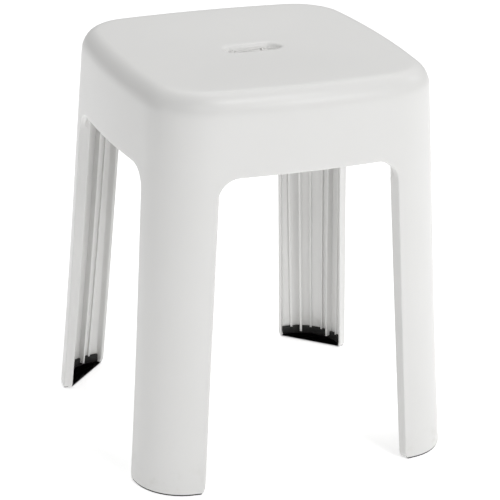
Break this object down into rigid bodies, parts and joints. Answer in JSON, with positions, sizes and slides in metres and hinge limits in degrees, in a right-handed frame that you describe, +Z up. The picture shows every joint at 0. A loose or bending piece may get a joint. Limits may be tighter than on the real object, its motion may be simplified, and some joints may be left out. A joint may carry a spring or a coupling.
{
  "type": "shower stool",
  "caption": "Square bath stool: one-piece moulded plastic seat on splayed open-shell legs, with a grip and drain slot in the seat and rubber strips under the legs",
  "frame": {"origin": "centre of the stool on the floor plane", "axes": "+Z up; the four side openings face +X, -X, +Y and -Y; the seat slot is long along X"},
  "size_m": [0.3568, 0.3568, 0.43],
  "materials": {
    "white_plastic": "warm white moulded polypropylene, satin",
    "black_rubber": "matte black elastomer with fine grain"
  },
  "bodies": {
    "root": {"stool_body": "white_plastic", "foot_front_left": "black_rubber", "foot_front_right": "black_rubber", "foot_back_left": "black_rubber", "foot_back_right": "black_rubber"}
  },
  "joints": []
}
